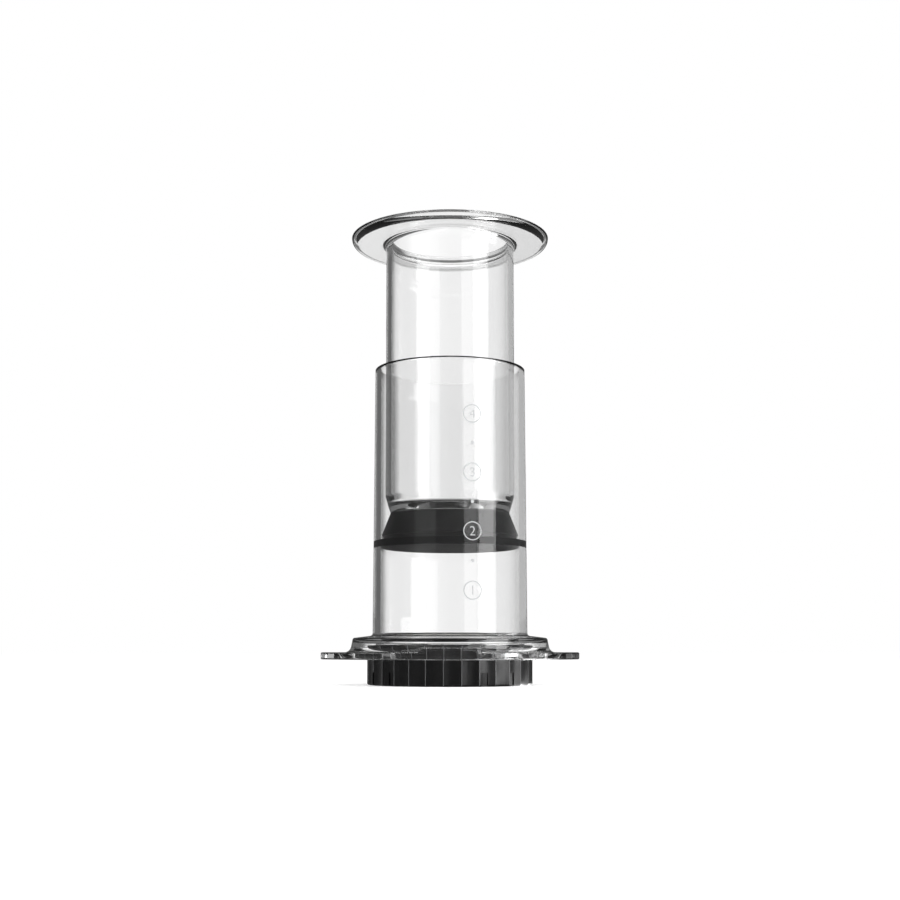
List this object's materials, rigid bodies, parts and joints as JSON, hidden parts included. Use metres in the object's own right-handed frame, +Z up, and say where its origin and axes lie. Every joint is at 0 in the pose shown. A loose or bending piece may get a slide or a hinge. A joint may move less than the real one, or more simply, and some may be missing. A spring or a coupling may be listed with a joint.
{
  "type": "manual coffee press",
  "caption": "Hand-pressed coffee maker: clear chamber with a six-sided flange, clear plunger with a rubber seal, and a bayonet filter cap holding a paper disc.",
  "frame": {"origin": "on the press's axis, at the underside of the filter cap on which it stands", "axes": "+Z up along the axis, from the filter cap to the plunger's flange; -Y is the front, where the number scale and one pad of the flange face; two corners of the six-sided flange are on X"},
  "size_m": [0.1094, 0.0958, 0.192],
  "materials": {
    "chamber_clear_plastic": "clear glossy moulding",
    "plunger_clear_plastic": "clear glossy moulding",
    "seal_rubber": "satin moulded rubber",
    "cap_plastic": "satin moulding with sharp ridges",
    "filter_paper": "uncoated fibrous paper"
  },
  "bodies": {
    "chamber": {"chamber": "chamber_clear_plastic"},
    "seal": {"plunger_seal": "seal_rubber"},
    "plunger": {"plunger": "plunger_clear_plastic"},
    "cap": {"filter_cap": "cap_plastic", "paper_filter": "filter_paper"}
  },
  "joints": [
    {"name": "plunger_slide", "type": "slide", "parent": "chamber", "child": "seal", "axis": [0, 0, 1], "range_m": [-0.0533, 0.0812]},
    {"name": "plunger_turn", "type": "hinge", "parent": "seal", "child": "plunger", "pos_m": [0, 0, 0.069], "axis": [0, 0, 1], "continuous": true},
    {"name": "cap_twist", "type": "hinge", "parent": "chamber", "child": "cap", "pos_m": [0, 0, 0.008], "axis": [0, 0, 1], "range_deg": [-45, 0]}
  ]
}
